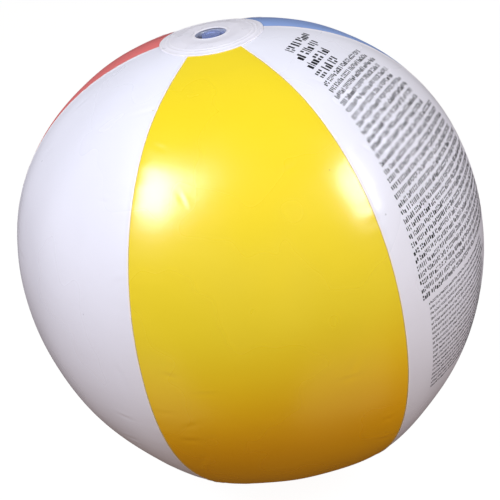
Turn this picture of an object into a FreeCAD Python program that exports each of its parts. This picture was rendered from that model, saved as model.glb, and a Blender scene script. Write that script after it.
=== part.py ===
"""Inflatable beach ball: six film gores, two end discs, and a push-in valve with a tethered stopper.

Frame: +Z is the pole axis with the valve on top. The origin is the centre of the flat that the
ball stands on. The yellow gore faces -Y. All lengths are millimetres.
"""
import FreeCAD, Part
import math
import os

# Inflated envelope
BELT_RADIUS = 175.0        # mean radius at the equator
POLE_HEIGHT = 175.5        # centre to pole of the full curve, before the end disc flattens it
FULLNESS = 2.13            # exponent of the meridian, where 2 would be an ellipse
SEAM_RISE = 0.011          # share of the radius by which the seams stand out and the gores sit in
SEAM_CREST = 0.003         # second harmonic that narrows the crest of each seam
FILM = 0.3                 # thickness of the gore film
GORE_COUNT = 6
GORE_END_RADIUS = 30.0     # the gores stop here, under the end discs

# End discs
DISC_RADIUS = 37.5
DISC_THICKNESS = 0.4
DISC_FLAT_RADIUS = 22.0    # flat middle of each disc
BOND_GAP = 0.02            # line left between two welded films
LOBE_START_RADIUS = 38.0   # the envelope is round inside this radius, so that the discs fit it
WELL_RADIUS = 11.3         # opening in the valve disc

# Valve stem, a straight neck that slides up through the opening
STEM_RADIUS = 7.0
BORE_RADIUS = 4.5
STEM_TOP = 2.0             # depth of the neck's mouth under the disc's face
STEM_BOTTOM = 17.0
FOOT_RADIUS = 8.6
FOOT_THICKNESS = 1.0
MOUTH_CHAMFER = 0.5

# Flange that is welded under the valve disc, and the rolling wall between it and the stem
FLANGE_INNER_RADIUS = 11.9
FLANGE_OUTER_RADIUS = 21.5
FLANGE_THICKNESS = 0.8
WALL_THICKNESS = 0.5
WALL_TOP_RADIUS = 12.6
WALL_BOTTOM_RADIUS = 9.2
WALL_CLEARANCE = 0.1
WALL_LIP_INNER_RADIUS = 7.3

# Stopper, its strap, and the lug on the neck that the strap turns on
HINGE_X = 8.9
HINGE_DEPTH = 1.4
EYE_RADIUS = 0.7
STRAP_WIDTH = 3.2
STRAP_THICKNESS = 1.0
HEAD_RADIUS = 6.8
HEAD_TOP = 0.4
HEAD_BOTTOM = 1.9
SPIGOT_ROOT_RADIUS = 4.2
SPIGOT_TIP_RADIUS = 3.1
SPIGOT_LENGTH = 4.5
THUMB_DIMPLE_RADIUS = 3.2
THUMB_DIMPLE_DEPTH = 0.6
LUG_WIDTH = 4.4
LUG_TOP = 2.1
LUG_BOTTOM = 3.3
LUG_REACH = 9.7
EYE_CLEARANCE = 0.1
LUG_ROOT = 6.0             # the lug starts inside the wall of the neck

# Check flap under the foot of the stem
FLAP_RADIUS = 5.4
FLAP_THICKNESS = 0.3
FLAP_GAP = 0.05
FLAP_HINGE_X = -6.0
FLAP_TAB_WIDTH = 3.0
FLAP_TAB_ROOT = -4.6

# Grid that the gore surfaces are interpolated through
ROWS = 49
COLUMNS = 17
STEP = 1e-4                # angle step for a surface normal, in radians

Z_AXIS = FreeCAD.Vector(0, 0, 1)
Y_AXIS = FreeCAD.Vector(0, 1, 0)


def meridian_height(radius):
    """Height above the centre of the full curve at a distance from the axis."""
    return POLE_HEIGHT * (1 - (radius / BELT_RADIUS) ** FULLNESS) ** (1 / FULLNESS)


DISC_BED = meridian_height(DISC_FLAT_RADIUS)
CENTRE_HEIGHT = DISC_BED + BOND_GAP + DISC_THICKNESS
DISC_FACE = 2 * CENTRE_HEIGHT       # height of the valve disc's outer face
PITCH = 2 * math.pi / GORE_COUNT


def surface_point(polar, azimuth):
    """Point of the gores' outer face at an angle from the valve pole and an angle about the axis."""
    across = math.sin(polar)
    along = math.cos(polar)
    power = (across / BELT_RADIUS) ** FULLNESS + (abs(along) / POLE_HEIGHT) ** FULLNESS
    reach = power ** (-1 / FULLNESS)
    share = (reach * across - LOBE_START_RADIUS) / (BELT_RADIUS - LOBE_START_RADIUS)
    share = min(max(share, 0.0), 1.0)
    fade = share * share * (3 - 2 * share)
    wave = SEAM_RISE * math.cos(GORE_COUNT * azimuth) + SEAM_CREST * math.cos(2 * GORE_COUNT * azimuth)
    reach *= 1 + fade * wave
    radius = reach * across
    return FreeCAD.Vector(radius * math.cos(azimuth), radius * math.sin(azimuth), reach * along)


def surface_normal(polar, azimuth):
    """Outward unit normal of the gores' outer face."""
    down = surface_point(polar + STEP, azimuth) - surface_point(polar - STEP, azimuth)
    around = surface_point(polar, azimuth + STEP) - surface_point(polar, azimuth - STEP)
    return down.cross(around).normalize()


def gore_face(depth):
    """One gore's face at a depth under the outer face, between the seams at 0 and at one pitch."""
    start = math.atan2(GORE_END_RADIUS, meridian_height(GORE_END_RADIUS))
    lift = FreeCAD.Vector(0, 0, CENTRE_HEIGHT)
    grid = []
    for row in range(ROWS):
        polar = start + (math.pi - 2 * start) * row / (ROWS - 1)
        line = []
        for column in range(COLUMNS):
            azimuth = PITCH * column / (COLUMNS - 1)
            inward = surface_normal(polar, azimuth) * depth
            line.append(surface_point(polar, azimuth) - inward + lift)
        grid.append(line)
    surface = Part.BSplineSurface()
    surface.interpolate(grid)
    return surface.toShape()


def closed_solid(faces):
    """Solid bounded by faces that meet along their edges."""
    shell = Part.makeShell(faces)
    shell.sewShape()
    solid = Part.makeSolid(shell)
    if solid.Volume < 0:
        solid.reverse()
    return solid


def gore():
    """Film gore between the seams at 0 and at one pitch, cut off square under the end discs."""
    outer = gore_face(0.0)
    inner = gore_face(FILM)
    sides = []
    for outer_edge, inner_edge in zip(outer.Edges, inner.Edges):
        sides.append(Part.makeRuledSurface(outer_edge, inner_edge))
    return closed_solid([outer, inner] + sides)


def turned(points):
    """Solid of revolution about Z from corner points (radius, height)."""
    corners = [FreeCAD.Vector(radius, 0, height) for radius, height in points]
    outline = Part.makePolygon(corners + [corners[0]])
    return Part.Face(outline).revolve(FreeCAD.Vector(), Z_AXIS, 360)


def disc_arc(rise):
    """Arc of a disc's sloping rim, at a rise over the gores, in the XZ half-plane."""
    middle = (DISC_FLAT_RADIUS + DISC_RADIUS) / 2
    points = []
    for radius in (DISC_FLAT_RADIUS, middle, DISC_RADIUS):
        points.append(FreeCAD.Vector(radius, 0, meridian_height(radius) + rise))
    return Part.Arc(*points).toShape()


def end_disc(hole_radius):
    """Round end disc over the ends of the gores, with its flat middle at the top of the ball."""
    under = disc_arc(BOND_GAP)
    over = disc_arc(BOND_GAP + DISC_THICKNESS)
    low = DISC_BED + BOND_GAP
    high = low + DISC_THICKNESS
    inner_low = FreeCAD.Vector(hole_radius, 0, low)
    inner_high = FreeCAD.Vector(hole_radius, 0, high)
    edges = [
        Part.makeLine(inner_low, under.firstVertex().Point),
        under,
        Part.makeLine(under.lastVertex().Point, over.lastVertex().Point),
        over,
        Part.makeLine(over.firstVertex().Point, inner_high),
        Part.makeLine(inner_high, inner_low),
    ]
    outline = Part.Wire(Part.sortEdges(edges)[0])
    disc = Part.Face(outline).revolve(FreeCAD.Vector(), Z_AXIS, 360)
    disc.translate(FreeCAD.Vector(0, 0, CENTRE_HEIGHT))
    return disc


def valve_disc():
    """End disc at the valve pole, with the opening that the neck slides through."""
    return end_disc(WELL_RADIUS)


def closed_disc():
    """End disc at the bottom pole, which the ball stands on."""
    disc = end_disc(0.0)
    disc.rotate(FreeCAD.Vector(0, 0, CENTRE_HEIGHT), FreeCAD.Vector(1, 0, 0), 180)
    return disc


def valve_flange():
    """Flat ring of the valve moulding that is welded to the underside of the valve disc."""
    top = DISC_FACE - DISC_THICKNESS - BOND_GAP
    ring = Part.makeCylinder(FLANGE_OUTER_RADIUS, FLANGE_THICKNESS)
    ring = ring.cut(Part.makeCylinder(FLANGE_INNER_RADIUS, FLANGE_THICKNESS))
    ring.translate(FreeCAD.Vector(0, 0, top - FLANGE_THICKNESS))
    return ring


def rolling_wall():
    """Thin tapered wall that joins the flange to the stem's foot and rolls as the stem moves."""
    top = DISC_FACE - DISC_THICKNESS - FLANGE_THICKNESS - 2 * BOND_GAP
    bottom = DISC_FACE - STEM_BOTTOM + FOOT_THICKNESS + WALL_CLEARANCE
    inner_top = WALL_TOP_RADIUS - WALL_THICKNESS
    inner_bottom = WALL_BOTTOM_RADIUS - WALL_THICKNESS
    return turned([
        (inner_top, top),
        (WALL_TOP_RADIUS, top),
        (WALL_BOTTOM_RADIUS, bottom),
        (WALL_LIP_INNER_RADIUS, bottom),
        (WALL_LIP_INNER_RADIUS, bottom + WALL_THICKNESS),
        (inner_bottom, bottom + WALL_THICKNESS),
    ])


def strap_lug():
    """Lug on the neck with a round seat for the eye of the stopper's strap."""
    lug = Part.makeBox(LUG_REACH - LUG_ROOT, LUG_WIDTH, LUG_BOTTOM - LUG_TOP)
    lug.translate(FreeCAD.Vector(LUG_ROOT, -LUG_WIDTH / 2, DISC_FACE - LUG_BOTTOM))
    seat_start = FreeCAD.Vector(HINGE_X, -LUG_WIDTH / 2, DISC_FACE - HINGE_DEPTH)
    seat = Part.makeCylinder(EYE_RADIUS + EYE_CLEARANCE, LUG_WIDTH, seat_start, Y_AXIS)
    return lug.cut(seat)


def valve_stem():
    """Neck that is blown into, with a foot flange and the strap's lug."""
    mouth = DISC_FACE - STEM_TOP
    base = DISC_FACE - STEM_BOTTOM
    neck = turned([
        (BORE_RADIUS, base),
        (FOOT_RADIUS, base),
        (FOOT_RADIUS, base + FOOT_THICKNESS),
        (STEM_RADIUS, base + FOOT_THICKNESS),
        (STEM_RADIUS, mouth),
        (BORE_RADIUS + MOUTH_CHAMFER, mouth),
        (BORE_RADIUS, mouth - MOUTH_CHAMFER),
    ])
    return neck.fuse(strap_lug()).removeSplitter()


def stopper():
    """Push-in stopper: a flat head with a thumb dimple, over a tapered spigot in the neck's bore."""
    top = DISC_FACE - HEAD_TOP
    seat = DISC_FACE - HEAD_BOTTOM
    return turned([
        (0, seat - SPIGOT_LENGTH),
        (SPIGOT_TIP_RADIUS, seat - SPIGOT_LENGTH),
        (SPIGOT_ROOT_RADIUS, seat),
        (HEAD_RADIUS, seat),
        (HEAD_RADIUS, top),
        (THUMB_DIMPLE_RADIUS + THUMB_DIMPLE_DEPTH, top),
        (THUMB_DIMPLE_RADIUS, top - THUMB_DIMPLE_DEPTH),
        (0, top - THUMB_DIMPLE_DEPTH),
    ])


def stopper_strap():
    """Short strap from the stopper's head to an eye on the neck's lug."""
    eye_start = FreeCAD.Vector(HINGE_X, -STRAP_WIDTH / 2, DISC_FACE - HINGE_DEPTH)
    eye = Part.makeCylinder(EYE_RADIUS, STRAP_WIDTH, eye_start, Y_AXIS)
    strap = Part.makeBox(HINGE_X - HEAD_RADIUS / 2, STRAP_WIDTH, STRAP_THICKNESS)
    low = DISC_FACE - HINGE_DEPTH - STRAP_THICKNESS / 2
    strap.translate(FreeCAD.Vector(HEAD_RADIUS / 2, -STRAP_WIDTH / 2, low))
    head = Part.makeCylinder(HEAD_RADIUS + BOND_GAP, HEAD_BOTTOM)
    head.translate(FreeCAD.Vector(0, 0, DISC_FACE - HEAD_BOTTOM))
    return strap.cut(head).fuse(eye).removeSplitter()


def check_flap():
    """Thin flap that closes the bore from inside, with a rounded hinge edge."""
    top = DISC_FACE - STEM_BOTTOM - FLAP_GAP
    flap = Part.makeCylinder(FLAP_RADIUS, FLAP_THICKNESS)
    tab = Part.makeBox(FLAP_TAB_ROOT - FLAP_HINGE_X, FLAP_TAB_WIDTH, FLAP_THICKNESS)
    tab.translate(FreeCAD.Vector(FLAP_HINGE_X, -FLAP_TAB_WIDTH / 2, 0))
    edge_start = FreeCAD.Vector(FLAP_HINGE_X, -FLAP_TAB_WIDTH / 2, FLAP_THICKNESS / 2)
    edge = Part.makeCylinder(FLAP_THICKNESS / 2, FLAP_TAB_WIDTH, edge_start, Y_AXIS)
    flap = flap.fuse([tab, edge]).removeSplitter()
    flap.translate(FreeCAD.Vector(0, 0, top - FLAP_THICKNESS))
    return flap


def panels():
    """The six gores, anticlockwise from the seam on +X as seen from the valve."""
    colours = ["blue", "white_rear", "red", "white_left", "yellow", "white_right"]
    first = gore()
    shapes = {}
    for index, colour in enumerate(colours):
        panel = first.copy()
        panel.rotate(FreeCAD.Vector(), Z_AXIS, math.degrees(PITCH) * index)
        shapes["panel_" + colour] = panel
    return shapes


def build():
    """Every piece of the ball by its node name."""
    shapes = panels()
    shapes["valve_disc"] = valve_disc()
    shapes["closed_end_disc"] = closed_disc()
    shapes["valve_flange"] = valve_flange()
    shapes["valve_rolling_wall"] = rolling_wall()
    shapes["valve_stem"] = valve_stem()
    shapes["stopper"] = stopper()
    shapes["stopper_strap"] = stopper_strap()
    shapes["check_flap"] = check_flap()
    return shapes


os.makedirs("parts", exist_ok=True)
for node, shape in build().items():
    shape.exportStep("parts/" + node + ".step")
    box = shape.BoundBox
    print(node, "solids", len(shape.Solids), "valid", shape.isValid(), "volume", round(shape.Volume, 2),
          "x", round(box.XMin, 3), round(box.XMax, 3), "y", round(box.YMin, 3), round(box.YMax, 3),
          "z", round(box.ZMin, 3), round(box.ZMax, 3))
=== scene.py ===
"""Looks of the inflatable beach ball: film gores with lap welds, end discs, clear valve, notice print.

Lengths are metres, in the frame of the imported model: +Z is the pole axis with the valve on top.
"""
import math
import random

import bpy
import numpy as np
from mathutils import Matrix, Vector


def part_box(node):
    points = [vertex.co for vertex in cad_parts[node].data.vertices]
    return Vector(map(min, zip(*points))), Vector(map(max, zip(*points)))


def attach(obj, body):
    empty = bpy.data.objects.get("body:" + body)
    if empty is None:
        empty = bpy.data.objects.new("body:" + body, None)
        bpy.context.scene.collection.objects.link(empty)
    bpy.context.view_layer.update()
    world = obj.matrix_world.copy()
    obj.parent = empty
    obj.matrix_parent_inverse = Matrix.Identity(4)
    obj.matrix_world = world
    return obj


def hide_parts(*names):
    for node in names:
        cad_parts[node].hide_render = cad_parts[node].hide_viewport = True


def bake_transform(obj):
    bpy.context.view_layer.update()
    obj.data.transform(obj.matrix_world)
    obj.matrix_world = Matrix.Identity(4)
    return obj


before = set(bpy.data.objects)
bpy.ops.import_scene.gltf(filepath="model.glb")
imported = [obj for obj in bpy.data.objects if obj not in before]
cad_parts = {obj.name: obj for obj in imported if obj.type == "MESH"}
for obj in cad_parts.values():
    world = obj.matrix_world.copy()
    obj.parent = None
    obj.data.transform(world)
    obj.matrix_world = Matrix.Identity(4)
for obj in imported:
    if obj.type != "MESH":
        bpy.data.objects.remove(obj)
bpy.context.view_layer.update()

MM = 0.001
GORE_COUNT = 6
PITCH = 2 * math.pi / GORE_COUNT

# Meridian of the envelope, as the film gores follow it
BELT_RADIUS = 175.0 * MM
POLE_HEIGHT = 175.5 * MM
FULLNESS = 2.13
SEAM_RISE = 0.011
SEAM_CREST = 0.003
LOBE_START_RADIUS = 38.0 * MM
GORE_END_RADIUS = 30.0 * MM
FILM = 0.3 * MM

_, disc_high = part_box("valve_disc")
TOP = disc_high.z
CENTRE = Vector((0, 0, TOP / 2))
DISC_RADIUS = disc_high.x
DISC_THICKNESS = 0.4 * MM
DISC_FLAT_RADIUS = 22.0 * MM
DISC_SEGMENTS = 160
WELL_RADIUS = 11.3 * MM     # opening in the valve disc

# Camera
CAMERA_DISTANCE = 0.9896
CAMERA_ELEVATION = math.radians(27.07)
CAMERA_ROLL = math.radians(11.11)
CAMERA_LENS = 92.53
AIM_RIGHT = -2.14 * MM
AIM_UP = -0.80 * MM


def make_camera():
    """Camera in front of the yellow gore, looking down at the ball, with the pole leaning left."""
    away = Vector((0, -math.cos(CAMERA_ELEVATION), math.sin(CAMERA_ELEVATION)))
    level = away.to_track_quat("Z", "Y").to_matrix()
    turn = Matrix.Rotation(-CAMERA_ROLL, 3, "Z")
    pose = level @ turn
    aim = CENTRE + pose @ Vector((AIM_RIGHT, AIM_UP, 0))
    data = bpy.data.cameras.new("camera")
    data.lens = CAMERA_LENS
    camera = bpy.data.objects.new("camera", data)
    camera.matrix_world = Matrix.Translation(aim + away * CAMERA_DISTANCE) @ pose.to_4x4()
    bpy.context.scene.collection.objects.link(camera)
    bpy.context.scene.camera = camera


make_camera()


# ---- mesh helpers -------------------------------------------------------------------------------

def new_piece(name, points, faces, material, smooth=True):
    """Object from points and faces."""
    mesh = bpy.data.meshes.new(name)
    mesh.from_pydata([tuple(p) for p in points], [], faces)
    mesh.validate()
    mesh.update()
    for polygon in mesh.polygons:
        polygon.use_smooth = smooth
    mesh.materials.append(material)
    piece = bpy.data.objects.new(name, mesh)
    bpy.context.scene.collection.objects.link(piece)
    return piece


def lathe(name, profile, material, segments):
    """Closed solid of revolution about Z from a closed loop of (radius, height) points."""
    points = []
    for segment in range(segments):
        angle = 2 * math.pi * segment / segments
        for radius, height in profile:
            points.append((radius * math.cos(angle), radius * math.sin(angle), height))
    count = len(profile)
    faces = []
    for segment in range(segments):
        here = segment * count
        there = (segment + 1) % segments * count
        for index in range(count):
            after = (index + 1) % count
            faces.append((here + index, there + index, there + after, here + after))
    return new_piece(name, points, faces, material)


def finish_piece(piece, body, slot, *nodes):
    """Ties a piece to its body, and hides the CAD nodes that it stands for. slot is not used."""
    if body:
        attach(piece, body)
    if nodes:
        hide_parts(*nodes)


# ---- materials ----------------------------------------------------------------------------------

def start_material(name):
    """New material with its node tree, its Principled shader and a texture coordinate node."""
    material = bpy.data.materials.new(name)
    material.use_nodes = True
    tree = material.node_tree
    shader = tree.nodes["Principled BSDF"]
    place = tree.nodes.new("ShaderNodeTexCoord")
    return material, tree, shader, place


def noise_node(tree, place, scale, detail=2.0, roughness=0.5):
    """Noise texture in object space."""
    node = tree.nodes.new("ShaderNodeTexNoise")
    node.inputs["Scale"].default_value = scale
    node.inputs["Detail"].default_value = detail
    node.inputs["Roughness"].default_value = roughness
    tree.links.new(place.outputs["Object"], node.inputs["Vector"])
    return node


def range_node(tree, source, from_low, from_high, to_low, to_high, easing="SMOOTHSTEP"):
    """Map Range of a value, eased at both ends unless another easing is asked for."""
    node = tree.nodes.new("ShaderNodeMapRange")
    node.interpolation_type = easing
    tree.links.new(source, node.inputs["Value"])
    node.inputs["From Min"].default_value = from_low
    node.inputs["From Max"].default_value = from_high
    node.inputs["To Min"].default_value = to_low
    node.inputs["To Max"].default_value = to_high
    return node.outputs["Result"]


def noise_range(tree, noise, reach, low=0.0, high=1.0):
    """Noise within reach of its middle, mapped to low and high."""
    return range_node(tree, noise.outputs["Fac"], 0.5 - reach, 0.5 + reach, low, high)


def mix_node(tree, factor, low, high):
    """Colour mix. low and high are sockets or colours."""
    node = tree.nodes.new("ShaderNodeMix")
    node.data_type = "RGBA"
    tree.links.new(factor, node.inputs["Factor"])
    for key, value in (("A", low), ("B", high)):
        socket = [i for i in node.inputs if i.name == key and i.type == "RGBA"][0]
        if isinstance(value, tuple):
            socket.default_value = (*value, 1.0)
        else:
            tree.links.new(value, socket)
    return [o for o in node.outputs if o.type == "RGBA"][0]


def bump_node(tree, height, strength, distance, below=None):
    """Bump from a height, over an optional bump under it."""
    node = tree.nodes.new("ShaderNodeBump")
    node.inputs["Strength"].default_value = strength
    node.inputs["Distance"].default_value = distance
    tree.links.new(height, node.inputs["Height"])
    if below is not None:
        tree.links.new(below, node.inputs["Normal"])
    return node.outputs["Normal"]


def scaled(colour, factor):
    """Darker or lighter copy of a colour."""
    return tuple(factor * channel for channel in colour)


# Film: heights between which painted shade deepens its colour downwards, and its noises in cells per metre
PAINTED_SHADE_FROM = 0.215
PAINTED_SHADE_TO = 0.095
CLOUD_SCALE = 9.0
CLOUD_DEPTH = 0.96          # share of the colour that is left in the clouds
SPECK_SCALE = 26.0
SPECK_REACH = (0.012, 0.024)    # where a speck starts to fade and where it ends, in cells
SPECK_DEPTH = 0.45          # share of the colour that is left in a speck, and how far it covers
GRAIN_SCALE = 14.0
PEEL_SCALE = 420.0
WAVE_SCALE = 38.0


def film_material(name, colour, low, edge, edge_width):
    """Soft vinyl film: slight cloudiness and specks, orange peel, painted shade along its welded edge
    (a painted highlight along the white film's bead).

    Painted shade deepens it from colour to low in its lower half, where less light falls. edge_width is in
    mm.
    """
    material, tree, shader, place = start_material(name)
    split = tree.nodes.new("ShaderNodeSeparateXYZ")
    tree.links.new(place.outputs["Object"], split.inputs["Vector"])
    # Painted shade: the colour turns to its darker low colour towards the bottom, where less light falls
    depth = range_node(tree, split.outputs["Z"], PAINTED_SHADE_FROM, PAINTED_SHADE_TO, 0.0, 1.0)
    clear = mix_node(tree, depth, colour, low)
    clouded = mix_node(tree, depth, scaled(colour, CLOUD_DEPTH), scaled(low, CLOUD_DEPTH))
    cloud = noise_node(tree, place, CLOUD_SCALE, 3.0)
    tone = mix_node(tree, noise_range(tree, cloud, 0.15), clear, clouded)
    specks = tree.nodes.new("ShaderNodeTexVoronoi")
    specks.inputs["Scale"].default_value = SPECK_SCALE
    tree.links.new(place.outputs["Object"], specks.inputs["Vector"])
    spot = range_node(tree, specks.outputs["Distance"], *SPECK_REACH, SPECK_DEPTH, 0.0)
    spotted = mix_node(tree, spot, tone, scaled(colour, SPECK_DEPTH))
    # Painted shade along the weld on the coloured films, a painted highlight along the white film's bead
    seam = tree.nodes.new("ShaderNodeAttribute")
    seam.attribute_name = "seam_mm"
    line = range_node(tree, seam.outputs["Fac"], edge_width * 0.6, edge_width, 1.0, 0.0)
    tree.links.new(mix_node(tree, line, spotted, edge), shader.inputs["Base Color"])
    grain = noise_node(tree, place, GRAIN_SCALE, 2.0)
    tree.links.new(noise_range(tree, grain, 0.2, 0.24, 0.32), shader.inputs["Roughness"])
    wave = noise_node(tree, place, WAVE_SCALE, 2.0)
    peel = noise_node(tree, place, PEEL_SCALE, 1.0)
    waves = bump_node(tree, wave.outputs["Fac"], 0.35, 0.6 * MM)
    skin = bump_node(tree, peel.outputs["Fac"], 0.12, 0.2 * MM, waves)
    tree.links.new(skin, shader.inputs["Normal"])
    shader.inputs["Specular IOR Level"].default_value = 1.0
    return material


# Weld rings of the end discs, and the ring around the valve's opening: radius, height, width in mm
WELD_RINGS = [(29.8, 0.22, 0.7), (32.8, 0.26, 0.7), (36.6, 0.26, 0.7)]
HOLE_RING = (12.7, 0.34, 0.9)
WELD_SHARE = 0.7            # painted half width of a ring, as a share of its width
WELD_COVER = 0.4
WELD_COLOUR = (0.93, 0.90, 0.92)
DISC_COLOUR = (0.87, 0.84, 0.89)
DISC_CLOUD_COLOUR = (0.81, 0.785, 0.84)
DISC_CLOUD_SCALE = 40.0
DISC_GRAIN_SCALE = 60.0
DISC_PEEL_SCALE = 500.0
CLEAR_CLOUD_SCALE = 170.0
INK_SCALE = 600.0


def disc_material():
    """Milky vinyl of the end discs, paler where it is welded."""
    material, tree, shader, place = start_material("milky_disc")
    cloud = noise_node(tree, place, DISC_CLOUD_SCALE, 3.0)
    tone = mix_node(tree, noise_range(tree, cloud, 0.15), DISC_COLOUR, DISC_CLOUD_COLOUR)
    split = tree.nodes.new("ShaderNodeSeparateXYZ")
    tree.links.new(place.outputs["Object"], split.inputs["Vector"])
    spread = tree.nodes.new("ShaderNodeCombineXYZ")
    tree.links.new(split.outputs["X"], spread.inputs["X"])
    tree.links.new(split.outputs["Y"], spread.inputs["Y"])
    radius = tree.nodes.new("ShaderNodeVectorMath")
    radius.operation = "LENGTH"
    tree.links.new(spread.outputs["Vector"], radius.inputs[0])
    for middle, _, width in WELD_RINGS + [HOLE_RING]:
        gap = tree.nodes.new("ShaderNodeMath")
        gap.operation = "COMPARE"
        tree.links.new(radius.outputs["Value"], gap.inputs[0])
        gap.inputs[1].default_value = middle * MM
        gap.inputs[2].default_value = WELD_SHARE * width * MM
        weld = range_node(tree, gap.outputs["Value"], 0.0, 1.0, 0.0, WELD_COVER)
        tone = mix_node(tree, weld, tone, WELD_COLOUR)
    tree.links.new(tone, shader.inputs["Base Color"])
    grain = noise_node(tree, place, DISC_GRAIN_SCALE, 2.0)
    tree.links.new(noise_range(tree, grain, 0.2, 0.26, 0.38), shader.inputs["Roughness"])
    peel = noise_node(tree, place, DISC_PEEL_SCALE, 1.0)
    tree.links.new(bump_node(tree, peel.outputs["Fac"], 0.15, 0.2 * MM), shader.inputs["Normal"])
    return material


def clear_material(name, colour, alpha, roughness):
    """Clear soft vinyl with a blue tint and slight clouds."""
    material, tree, shader, place = start_material(name)
    cloud = noise_node(tree, place, CLEAR_CLOUD_SCALE, 2.0)
    share = noise_range(tree, cloud, 0.25)
    pale = tuple(min(1.0, 0.08 + 0.95 * c) for c in colour)
    tree.links.new(mix_node(tree, share, colour, pale), shader.inputs["Base Color"])
    tree.links.new(noise_range(tree, cloud, 0.2, roughness, roughness + 0.1), shader.inputs["Roughness"])
    tree.links.new(bump_node(tree, cloud.outputs["Fac"], 0.12, 0.2 * MM), shader.inputs["Normal"])
    shader.inputs["Alpha"].default_value = alpha
    shader.inputs["Coat Weight"].default_value = 0.6
    shader.inputs["Coat Roughness"].default_value = 0.08
    return material


def ink_material():
    """Matt black ink with slightly uneven cover."""
    material, tree, shader, place = start_material("print_ink")
    cover = noise_node(tree, place, INK_SCALE, 2.0)
    tone = mix_node(tree, range_node(tree, cover.outputs["Fac"], 0.35, 0.7, 0.0, 1.0),
                    (0.003, 0.003, 0.004), (0.02, 0.02, 0.024))
    tree.links.new(tone, shader.inputs["Base Color"])
    tree.links.new(noise_range(tree, cover, 0.2, 0.5, 0.65), shader.inputs["Roughness"])
    shader.inputs["Specular IOR Level"].default_value = 0.25
    return material


# Film colours: own, low (painted shade), weld line (painted shade; a painted highlight on white), line width
# mm
YELLOW = film_material("yellow_film", (0.90, 0.68, 0.016), (0.92, 0.45, 0.002), (0.74, 0.58, 0.10), 0.6)
WHITE = film_material("white_film", (0.87, 0.86, 0.93), (0.82, 0.81, 0.88), (0.95, 0.88, 0.86), 1.4)
RED = film_material("red_film", (1.0, 0.215, 0.21), (0.88, 0.07, 0.06), (0.62, 0.08, 0.08), 0.6)
BLUE = film_material("blue_film", (0.33, 0.50, 0.94), (0.18, 0.32, 0.78), (0.14, 0.24, 0.52), 0.6)
MILKY = disc_material()
CLEAR_STOPPER = clear_material("clear_stopper", (0.26, 0.33, 0.66), 0.6, 0.12)
CLEAR_NECK = clear_material("clear_neck", (0.30, 0.36, 0.64), 0.6, 0.15)
CLEAR_WALL = clear_material("clear_wall", (0.50, 0.54, 0.72), 0.65, 0.2)
INK = ink_material()


# ---- envelope shape -----------------------------------------------------------------------------

# Soft dents and swells of the inflated film: azimuth, latitude, reach (degrees), height (mm)
SWELLS = [
    (-172.0, -32.0, 24.0, -4.0),
    (-122.0, -46.0, 20.0, -3.2),
    (-62.0, -42.0, 20.0, 2.2),
    (-153.0, -42.0, 15.0, -2.2),
    (-43.0, -53.0, 14.0, -2.4),
    (18.0, 22.0, 26.0, -3.0),
    (75.0, -12.0, 30.0, 1.0),
    (140.0, 30.0, 24.0, -1.0),
]
CREASES_PER_GORE = 22
rng = random.Random(11)

# Sag of the film beside the valve disc, towards +Y and -Y: it grows, holds and fades with the radius
SAG_BACK = 3.4 * MM
SAG_FRONT = 2.2 * MM
SAG_RADII = (24.0 * MM, 56.0 * MM, 62.0 * MM, 120.0 * MM)


def meridian_height(radius):
    """Height above the centre of the full curve at a distance from the axis."""
    return POLE_HEIGHT * (1 - (radius / BELT_RADIUS) ** FULLNESS) ** (1 / FULLNESS)


def unit_vectors(polar, azimuth):
    """Directions from the centre, as an array."""
    across = np.sin(polar)
    return np.stack([across * np.cos(azimuth), across * np.sin(azimuth), np.cos(polar)], axis=-1)


def smooth_step(value, low, high):
    """0 below low, 1 above high, and smooth between."""
    share = np.clip((value - low) / (high - low), 0, 1)
    return share * share * (3 - 2 * share)


def cap_sag(across, along):
    """Depth of the sag beside the valve disc, at x = across and y = along."""
    radius = np.maximum(np.hypot(across, along), MM)
    grow, full, hold, gone = SAG_RADII
    window = smooth_step(radius, grow, full) * (1 - smooth_step(radius, hold, gone))
    return np.where(along > 0, SAG_BACK, SAG_FRONT) * window * (along / radius) ** 2


def swell(polar, azimuth):
    """Height in metres of the soft dents and swells."""
    spots = unit_vectors(polar, azimuth)
    total = np.zeros(np.shape(polar))
    for turn, latitude, reach, height in SWELLS:
        middle = unit_vectors(math.radians(90 - latitude), math.radians(turn))
        angle = np.degrees(np.arccos(np.clip(spots @ middle, -1, 1)))
        total += height * MM * np.exp(-(angle / reach) ** 2)
    return total


def envelope(polar, azimuth, lift=0.0):
    """Points of the envelope's outer face, in the frame, raised by lift metres along the radius."""
    polar = np.asarray(polar, float)
    azimuth = np.asarray(azimuth, float)
    across = np.sin(polar)
    along = np.cos(polar)
    power = (across / BELT_RADIUS) ** FULLNESS + (np.abs(along) / POLE_HEIGHT) ** FULLNESS
    reach = power ** (-1 / FULLNESS)
    fade = smooth_step(reach * across, LOBE_START_RADIUS, BELT_RADIUS)
    wave = SEAM_RISE * np.cos(GORE_COUNT * azimuth) + SEAM_CREST * np.cos(2 * GORE_COUNT * azimuth)
    reach = reach * (1 + fade * wave) + fade * swell(polar, azimuth) + lift
    points = unit_vectors(polar, azimuth) * reach[..., None]
    points[..., 2] -= np.where(along > 0, cap_sag(points[..., 0], points[..., 1]), 0)
    points[..., 2] += CENTRE.z
    return points


START_POLAR = math.atan2(GORE_END_RADIUS, meridian_height(GORE_END_RADIUS))

# Meridian arc length against polar angle, so that places can be given in metres along the gore
ARC_STEPS = 2000
arc_polar = np.linspace(0, math.pi, ARC_STEPS)
arc_path = envelope(arc_polar, np.full(ARC_STEPS, PITCH / 2))
arc_length = np.concatenate([[0], np.cumsum(np.linalg.norm(np.diff(arc_path, axis=0), axis=1))])


def polar_at(arc):
    """Polar angle at a distance along the meridian from the valve pole."""
    return np.interp(arc, arc_length, arc_polar)


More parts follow.
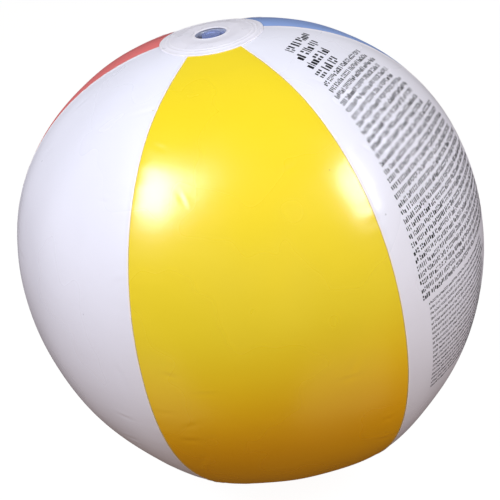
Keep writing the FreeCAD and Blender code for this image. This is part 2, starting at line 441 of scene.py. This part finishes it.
def ring_radius(polar):
    """Distance from the axis of the envelope's mean circle at a polar angle."""
    across = np.sin(polar)
    power = (across / BELT_RADIUS) ** FULLNESS + (np.abs(np.cos(polar)) / POLE_HEIGHT) ** FULLNESS
    return power ** (-1 / FULLNESS) * across


def half_width(polar):
    """Distance from a gore's middle to its seam at a polar angle."""
    return ring_radius(polar) * PITCH / 2


# ---- film gores ---------------------------------------------------------------------------------

ROWS = 350
INNER_COLUMNS = 84
EDGE_OFFSETS = [0.0, 0.5, 1.0, 1.5, 2.1, 2.8, 3.6, 4.4, 5.4, 6.8]   # mm from the seam
EDGE_SHARE = 0.9            # most of a narrow gore's width that its fine edge columns may take
LAP = 3.6 * MM              # width of the weld, where the coloured film runs on under the white one
LAP_COLUMNS = 5
EDGE_BEAD = 0.40 * MM       # how far the white film's edge stands up on the weld
BEAD_WIDTH = 1.6 * MM
WELD_DIP = 0.05 * MM        # dip of the coloured film beside the weld
WELD_DIP_WIDTH = 1.0 * MM
WELD_SINK = 0.15 * MM       # depth of the coloured film inside the weld
WELD_SINK_WIDTH = 0.8 * MM
GATHER_HEIGHT = 0.10 * MM
GATHER_PITCH = 12.5 * MM
GATHER_REACH = 7.0 * MM     # distance from the seam over which the gathers die away
PATCH_LENGTHS = (47.0 * MM, 21.0 * MM)      # the gathers come in patches of about these lengths
GATHER_DRIFT = 31.0 * MM
CREASE_ARCS = (90.0 * MM, 470.0 * MM)
END_FADE = 12.0 * MM        # the lifts fade in over this much half width at the gore's ends


def edge_profile(distance, over):
    """Height of a film near its seam. The white film lies over the weld, the coloured one in it."""
    if over:
        return EDGE_BEAD * np.exp(-(np.maximum(distance, 0) / BEAD_WIDTH) ** 2)
    sunk = np.clip(-distance / WELD_SINK_WIDTH, 0, 1)
    return -WELD_DIP * np.exp(-(distance / WELD_DIP_WIDTH) ** 2) - WELD_SINK * sunk


def pucker(arc, distance, phase):
    """Fine gathers of the film along the weld, strongest at the seam and in patches along it."""
    long, short = PATCH_LENGTHS
    patch = 0.5 + 0.5 * np.sin(arc / long + 2.1 * phase) * np.sin(arc / short + phase)
    ripple = np.sin(2 * math.pi * arc / GATHER_PITCH + 3 * np.sin(arc / GATHER_DRIFT + phase))
    return GATHER_HEIGHT * patch ** 2 * ripple * np.exp(-np.maximum(distance, 0) / GATHER_REACH)


def make_creases():
    """Seeded crease marks of one gore: arc, cross position, direction, half length, half width, depth."""
    marks = []
    for _ in range(CREASES_PER_GORE):
        arc = rng.uniform(*CREASE_ARCS)
        side = rng.choice((-1, 1))
        inset = rng.uniform(0.06, 0.55)
        slant = rng.uniform(-0.5, 0.5) + rng.choice((0.0, math.pi / 2))
        length = rng.uniform(4.0, 9.0) * MM
        width = rng.uniform(1.1, 2.2) * MM
        depth = rng.uniform(0.10, 0.3) * MM
        middle = side * (1 - inset) * half_width(polar_at(arc))
        marks.append((arc, middle, slant, length, width, depth))
    return marks


CREASES = [make_creases() for _ in range(GORE_COUNT)]


def crease_height(arc, cross, marks):
    """Height of the crease marks at places given by arc and cross distance from the gore's middle."""
    total = np.zeros(np.shape(arc))
    for mark_arc, middle, slant, length, width, depth in marks:
        along = (arc - mark_arc) * math.cos(slant) + (cross - middle) * math.sin(slant)
        aside = (cross - middle) * math.cos(slant) - (arc - mark_arc) * math.sin(slant)
        body = np.exp(-(along / length) ** 2)
        fold = np.exp(-(aside / width) ** 2) - 0.6 * np.exp(-((aside - 2 * width) / width) ** 2)
        total -= depth * body * fold
    return total


def film_lift(index, arc, cross, half, over):
    """Height of a gore's film over the smooth envelope: edges, gathers and creases."""
    distance = half - np.abs(cross)
    phase = np.where(cross < 0, index, (index + 1) % GORE_COUNT).astype(float)
    lift = edge_profile(distance, over) + pucker(arc, distance, phase)
    lift = lift + crease_height(arc, cross, CREASES[index])
    return lift * np.clip((half - half_width(START_POLAR)) / END_FADE, 0, 1)


def gore(name, index, material, slot, over):
    """One film gore from seam to seam. over says whether its edges lie on the welds or run under."""
    middle = (index + 0.5) * PITCH
    polar = np.linspace(START_POLAR, math.pi - START_POLAR, ROWS)
    arc = np.interp(polar, arc_polar, arc_length)
    half = half_width(polar)
    near = np.array(EDGE_OFFSETS) * MM
    if not over:
        near = np.concatenate([np.linspace(-LAP, 0, LAP_COLUMNS, endpoint=False), near])
    rows = []
    for width in half:
        squeeze = min(1.0, EDGE_SHARE * width / near[-1] / 2)
        offsets = near * squeeze
        left = -width + offsets
        inner = np.linspace(left[-1], -left[-1], INNER_COLUMNS)
        rows.append(np.concatenate([left, inner[1:-1], -left[::-1]]))
    cross = np.array(rows)
    half_grid = np.repeat(half[:, None], cross.shape[1], axis=1)
    arc_grid = np.repeat(arc[:, None], cross.shape[1], axis=1)
    polar_grid = np.repeat(polar[:, None], cross.shape[1], axis=1)
    azimuth = middle + cross / half_grid * PITCH / 2
    distance = half_grid - np.abs(cross)
    points = envelope(polar_grid, azimuth, film_lift(index, arc_grid, cross, half_grid, over))
    columns = cross.shape[1]
    faces = []
    for row in range(ROWS - 1):
        for column in range(columns - 1):
            corner = row * columns + column
            faces.append((corner, corner + columns, corner + columns + 1, corner + 1))
    piece = new_piece(name, points.reshape(-1, 3), faces, material)
    attribute = piece.data.attributes.new("seam_mm", "FLOAT", "POINT")
    attribute.data.foreach_set("value", (distance.ravel() / MM).astype(np.float32))
    wall = piece.modifiers.new("film_thickness", "SOLIDIFY")
    wall.thickness = FILM
    wall.offset = -1.0
    finish_piece(piece, "envelope", slot, name.replace("film_", "panel_"))


gore("film_blue", 0, BLUE, "blue_film", False)
gore("film_white_rear", 1, WHITE, "white_film", True)
gore("film_red", 2, RED, "red_film", False)
gore("film_white_left", 3, WHITE, "white_film", True)
gore("film_yellow", 4, YELLOW, "yellow_film", False)
gore("film_white_right", 5, WHITE, "white_film", True)


# ---- end discs ----------------------------------------------------------------------------------

def disc_rise(radius, rings):
    """Height of a disc's outer face above its flat, with its weld rings."""
    flat = meridian_height(DISC_FLAT_RADIUS)
    rise = meridian_height(max(radius, DISC_FLAT_RADIUS)) - flat
    for middle, height, width in rings:
        rise += height * MM * math.exp(-((radius / MM - middle) / width) ** 2)
    return rise


PROFILE_STEPS = 90
RIM_STEPS = 6
PINHOLE = 0.02 * MM         # the closed disc's lathe profile stops this far from the axis


def disc_profile(hole, rings):
    """Closed profile of an end disc, outer face first, with a rounded rim, flat at height 0."""
    rim = DISC_RADIUS - DISC_THICKNESS / 2
    profile = []
    for step in range(PROFILE_STEPS + 1):
        radius = hole + (rim - hole) * step / PROFILE_STEPS
        profile.append((radius, disc_rise(radius, rings)))
    edge = disc_rise(rim, rings)
    base = disc_rise(rim, []) - DISC_THICKNESS
    for step in range(1, RIM_STEPS):
        angle = math.pi * step / RIM_STEPS
        middle = (edge + base) / 2
        profile.append((rim + DISC_THICKNESS / 2 * math.sin(angle),
                        middle + (edge - middle) * math.cos(angle)))
    for step in range(PROFILE_STEPS, -1, -3):
        radius = hole + (rim - hole) * step / PROFILE_STEPS
        profile.append((radius, disc_rise(radius, []) - DISC_THICKNESS))
    return profile


def follow_sag(piece):
    """Lets the valve disc follow the sag of the film around it."""
    for vertex in piece.data.vertices:
        vertex.co.z -= cap_sag(vertex.co.x, vertex.co.y)


valve_profile = [(r, TOP + h) for r, h in disc_profile(WELL_RADIUS, WELD_RINGS + [HOLE_RING])]
valve_disc = lathe("disc_valve_end", valve_profile[::-1], MILKY, DISC_SEGMENTS)
follow_sag(valve_disc)
finish_piece(valve_disc, "envelope", "disc_film", "valve_disc")

closed_profile = [(r, -h) for r, h in disc_profile(PINHOLE, WELD_RINGS)]
closed_disc = lathe("disc_closed_end", closed_profile, MILKY, DISC_SEGMENTS)
finish_piece(closed_disc, "envelope", "disc_film", "closed_end_disc")


# ---- valve --------------------------------------------------------------------------------------

WALL_THICKNESS = 0.5 * MM
WALL_FOOT_RADIUS = 9.2 * MM
WALL_LIP_RADIUS = 7.4 * MM
WALL_FOLD = 0.35 * MM       # height of the roll folds
WALL_STEPS = 36
WALL_SEGMENTS = 96


def rolling_wall():
    """Soft wall from the flange to the neck's foot, with shallow roll folds."""
    low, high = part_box("valve_rolling_wall")
    outer = []
    inner = []
    for step in range(WALL_STEPS + 1):
        share = step / WALL_STEPS
        height = high.z + (low.z - high.z) * share
        radius = high.x + (WALL_FOOT_RADIUS - high.x) * share ** 0.8
        radius += WALL_FOLD * math.sin(3.2 * math.pi * share) * share
        outer.append((radius, height))
        inner.append((radius - WALL_THICKNESS, height + 0.15 * WALL_THICKNESS * share))
    lip = [(WALL_LIP_RADIUS, low.z), (WALL_LIP_RADIUS, low.z + WALL_THICKNESS)]
    profile = outer + lip + inner[::-1]
    wall = lathe("valve_soft_wall", profile, CLEAR_WALL, WALL_SEGMENTS)
    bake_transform(wall)
    finish_piece(wall, None, "clear_vinyl", "valve_rolling_wall")


SHARP_ANGLE = math.radians(35)      # edges that turn by more than this get rounded


def soften(node, width, material):
    """Gives a moulded CAD piece rounded edges and its material."""
    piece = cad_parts[node]
    piece.data.materials.clear()
    piece.data.materials.append(material)
    bevel = piece.modifiers.new("moulded_edges", "BEVEL")
    bevel.width = width
    bevel.segments = 3
    bevel.limit_method = "ANGLE"
    bevel.angle_limit = SHARP_ANGLE
    for polygon in piece.data.polygons:
        polygon.use_smooth = True


rolling_wall()
soften("valve_stem", 0.25 * MM, CLEAR_NECK)
soften("stopper", 0.2 * MM, CLEAR_STOPPER)
soften("stopper_strap", 0.15 * MM, CLEAR_STOPPER)
soften("check_flap", 0.05 * MM, CLEAR_NECK)
soften("valve_flange", 0.15 * MM, CLEAR_WALL)


# ---- notice print -------------------------------------------------------------------------------
# Plain upright blocks in rows, like a bar pattern: they form no letters, words or symbols.

PRINT_GORE = 5
PRINT_LIFT = 0.06 * MM
PRINT_DEPTH = 0.02 * MM

# Blocks in one cell of a row: left, right, top, bottom as shares of the cell
CELLS = [
    [(0.0, 0.60, 0.0, 1.0)],
    [(0.2, 0.60, 0.0, 1.0)],
    [(0.0, 0.80, 0.3, 1.0)],
    [(0.1, 0.70, 0.0, 0.75)],
    [(0.1, 0.70, 0.0, 0.38), (0.1, 0.70, 0.62, 1.0)],
]


class Print:
    """Collects ink blocks on the printed gore, at places on its flat film.

    Places are metres: down is the arc from the pole, and across is measured from the gore's middle.
    Rows are straight across the flat film, so on the ball their ends bow away from the nearer pole.
    """

    def __init__(self):
        self.corners = []

    def block(self, left, right, top, bottom):
        """One rectangular ink block."""
        self.corners.extend([(top, left), (top, right), (bottom, right), (bottom, left)])

    def row(self, down, start, stop, height, cell, heavy_share):
        """A row of cells from start to stop, in groups of random length, some of them heavy."""
        across = start
        left = 0
        while across < stop:
            if left == 0:
                left = rng.randint(2, 9)
                heavy = rng.random() < heavy_share
                across += 0.55 * cell
            wide = cell * rng.uniform(0.65, 1.1) * (1.25 if heavy else 1.0)
            for x0, x1, y0, y1 in rng.choice(CELLS):
                self.block(across + x0 * wide, across + x1 * wide, down + y0 * height, down + y1 * height)
            across += wide + cell * (0.06 if heavy else 0.16)
            left -= 1

    def make(self):
        """Points and faces of all blocks, each a thin closed solid that lies on the film."""
        arc, across = np.array(self.corners).T
        arc = arc + across ** 2 / (2 * BELT_RADIUS) / np.tan(polar_at(arc))
        polar = polar_at(arc)
        half = half_width(polar)
        azimuth = (PRINT_GORE + 0.5) * PITCH + across / half * PITCH / 2
        film = film_lift(PRINT_GORE, arc, across, half, True)
        upper = envelope(polar, azimuth, film + PRINT_LIFT)
        lower = envelope(polar, azimuth, film - PRINT_DEPTH)
        faces = []
        count = len(arc)
        for first in range(0, count, 4):
            ring = [first, first + 1, first + 2, first + 3]
            faces.append(tuple(ring[::-1]))
            faces.append(tuple(count + corner for corner in ring))
            for here, there in zip(ring, ring[1:] + ring[:1]):
                faces.append((here, there, count + there, count + here))
        return np.concatenate([upper, lower]), faces


def row_ends(down, left_gap, right_gap):
    """Start and stop of a row that keeps these distances from the gore's seams."""
    half = half_width(polar_at(down))
    return left_gap - half, half - right_gap * rng.uniform(0.85, 1.15)


# The bands of rows: large ones near the valve, small ones, and fine ones below the belt. A pitch is
# the way from one row to the next, and a size holds a row's height, cell width and share of heavy
# groups. Gaps are margins from the gore's seams.
LARGE_ROWS = 4
LARGE_START = 61.8 * MM
LARGE_PITCH = 9.6 * MM
LARGE_SIZE = (6.6 * MM, 2.8 * MM, 1.0)
LARGE_LENGTH = 34.0 * MM
LARGE_GAP = 19.5 * MM
SMALL_RANGE = (99.4 * MM, 266.0 * MM)
SMALL_PITCH = 5.8 * MM
SMALL_SIZE = (3.7 * MM, 1.8 * MM, 0.3)
SMALL_GAP = 18.5 * MM
SMALL_RIGHT_GAP = 22.0 * MM
SHORT_ROWS_START = 99.0 * MM    # from here to the end below, the small rows' right margin widens
SHORT_ROWS_END = 160.0 * MM
SHORT_ROWS_GAP = 18.0 * MM
SHORT_ROWS_GROWTH = 0.26
FINE_RANGE = (270.0 * MM, 349.0 * MM)
FINE_PITCH = 4.3 * MM
FINE_SIZE = (2.1 * MM, 1.3 * MM, 0.15)
FINE_GAPS = (24.5 * MM, 55.0 * MM)


def make_print():
    """The print: four large rows near the valve, then many small rows, finer ones below the belt."""
    ink = Print()
    for line in range(LARGE_ROWS):
        down = LARGE_START + LARGE_PITCH * line
        start, _ = row_ends(down, LARGE_GAP, 0.0)
        ink.row(down, start, start + LARGE_LENGTH * rng.uniform(0.95, 1.08), *LARGE_SIZE)
    down, last = SMALL_RANGE
    while down < last:
        right_gap = SMALL_RIGHT_GAP
        if down < SHORT_ROWS_END:
            right_gap = SHORT_ROWS_GAP + SHORT_ROWS_GROWTH * (down - SHORT_ROWS_START)
        start, stop = row_ends(down, SMALL_GAP, right_gap)
        ink.row(down, start, stop, *SMALL_SIZE)
        down += SMALL_PITCH
    down, last = FINE_RANGE
    while down < last:
        start, stop = row_ends(down, *FINE_GAPS)
        ink.row(down, start, stop, *FINE_SIZE)
        down += FINE_PITCH
    points, faces = ink.make()
    notice = new_piece("notice_print", points, faces, INK, smooth=False)
    finish_piece(notice, "envelope", "print_ink")


make_print()


# ---- studio -------------------------------------------------------------------------------------

def area_light(name, azimuth, elevation, distance, size, power, colour):
    """Square soft box that faces the ball's centre from a direction in degrees."""
    turn = math.radians(azimuth)
    rise = math.radians(elevation)
    away = Vector((math.cos(rise) * math.cos(turn), math.cos(rise) * math.sin(turn), math.sin(rise)))
    data = bpy.data.lights.new(name, "AREA")
    data.shape = "SQUARE"
    data.size = size
    data.energy = power
    data.color = colour
    light = bpy.data.objects.new(name, data)
    pose = away.to_track_quat("Z", "Y").to_matrix().to_4x4()
    light.matrix_world = Matrix.Translation(CENTRE + away * distance) @ pose
    bpy.context.scene.collection.objects.link(light)


# Brightness of the surroundings against the height of the direction, from straight down to straight up
SURROUNDINGS = [
    (-1.0, (0.27, 0.17, 0.11)),
    (-0.6, (0.19, 0.115, 0.10)),
    (-0.2, (0.37, 0.29, 0.34)),
    (0.3, (0.71, 0.64, 0.55)),
    (1.0, (0.14, 0.15, 0.175)),
]
MIRRORED_SHARE = 0.14      # how bright gloss sees the surroundings: a studio is dark around its lights


def make_world():
    """Studio surroundings: brightest a little above the horizon, warm and dim below, white to the camera."""
    world = bpy.data.worlds.new("studio")
    bpy.context.scene.world = world
    world.use_nodes = True
    tree = world.node_tree
    shade = tree.nodes["Background"]
    place = tree.nodes.new("ShaderNodeTexCoord")
    split = tree.nodes.new("ShaderNodeSeparateXYZ")
    tree.links.new(place.outputs["Generated"], split.inputs["Vector"])
    ramp = tree.nodes.new("ShaderNodeValToRGB")
    tree.links.new(range_node(tree, split.outputs["Z"], -1.0, 1.0, 0.0, 1.0, "LINEAR"), ramp.inputs["Fac"])
    stops = ramp.color_ramp.elements
    while len(stops) < len(SURROUNDINGS):
        stops.new(0.5)
    for stop, (height, colour) in zip(stops, SURROUNDINGS):
        stop.position = (height + 1) / 2
        stop.color = (*colour, 1)
    tree.links.new(ramp.outputs["Color"], shade.inputs["Color"])
    path = tree.nodes.new("ShaderNodeLightPath")
    strength = range_node(tree, path.outputs["Is Glossy Ray"], 0.0, 1.0, 1.0, MIRRORED_SHARE)
    tree.links.new(strength, shade.inputs["Strength"])
    white = tree.nodes.new("ShaderNodeBackground")
    mix = tree.nodes.new("ShaderNodeMixShader")
    tree.links.new(path.outputs["Is Camera Ray"], mix.inputs["Fac"])
    tree.links.new(shade.outputs["Background"], mix.inputs[1])
    tree.links.new(white.outputs["Background"], mix.inputs[2])
    tree.links.new(mix.outputs["Shader"], tree.nodes["World Output"].inputs["Surface"])
    white.inputs["Color"].default_value = (1, 1, 1, 1)
    white.inputs["Strength"].default_value = 1.0


FLOOR_REACH = 6.0
FLOOR_COLOUR = (0.12, 0.12, 0.12, 1)
FLOOR_GLOW = 0.95


def make_floor():
    """Plain pale floor. It takes the ball's soft shadow, and doesn't light the ball."""
    far = FLOOR_REACH
    corners = [(-far, -far, 0), (far, -far, 0), (far, far, 0), (-far, far, 0)]
    material = bpy.data.materials.new("pale_floor")
    material.use_nodes = True
    tree = material.node_tree
    shader = tree.nodes["Principled BSDF"]
    shader.inputs["Base Color"].default_value = FLOOR_COLOUR
    shader.inputs["Roughness"].default_value = 1.0
    shader.inputs["Specular IOR Level"].default_value = 0.0
    shader.inputs["Emission Color"].default_value = (1, 1, 1, 1)
    shader.inputs["Emission Strength"].default_value = FLOOR_GLOW
    clear = tree.nodes.new("ShaderNodeBsdfTransparent")
    path = tree.nodes.new("ShaderNodeLightPath")
    mix = tree.nodes.new("ShaderNodeMixShader")
    tree.links.new(path.outputs["Is Camera Ray"], mix.inputs["Fac"])
    tree.links.new(clear.outputs["BSDF"], mix.inputs[1])
    tree.links.new(shader.outputs["BSDF"], mix.inputs[2])
    tree.links.new(mix.outputs["Shader"], tree.nodes["Material Output"].inputs["Surface"])
    floor = new_piece("floor", corners, [(0, 1, 2, 3)], material, smooth=False)


# Soft boxes beside the camera and faint glows from below: azimuth and elevation in degrees, distance,
# size, power, colour
LIGHTS = {
    "soft_box_left": (-135.5, 48.4, 1.0, 0.38, 6.6, (0.80, 0.87, 1.0)),
    "soft_box_right": (-34.0, 30.1, 1.0, 0.38, 4.75, (0.85, 0.90, 0.97)),
    "low_glow_left": (-137.0, -32.6, 1.0, 0.5, 0.3, (1.0, 0.88, 0.5)),
    "low_glow_right": (-61.3, -42.5, 1.0, 0.5, 0.3, (1.0, 0.88, 0.5)),
}

make_world()
make_floor()
for light_name, light_values in LIGHTS.items():
    area_light(light_name, *light_values)
bpy.context.scene.view_settings.view_transform = "Standard"
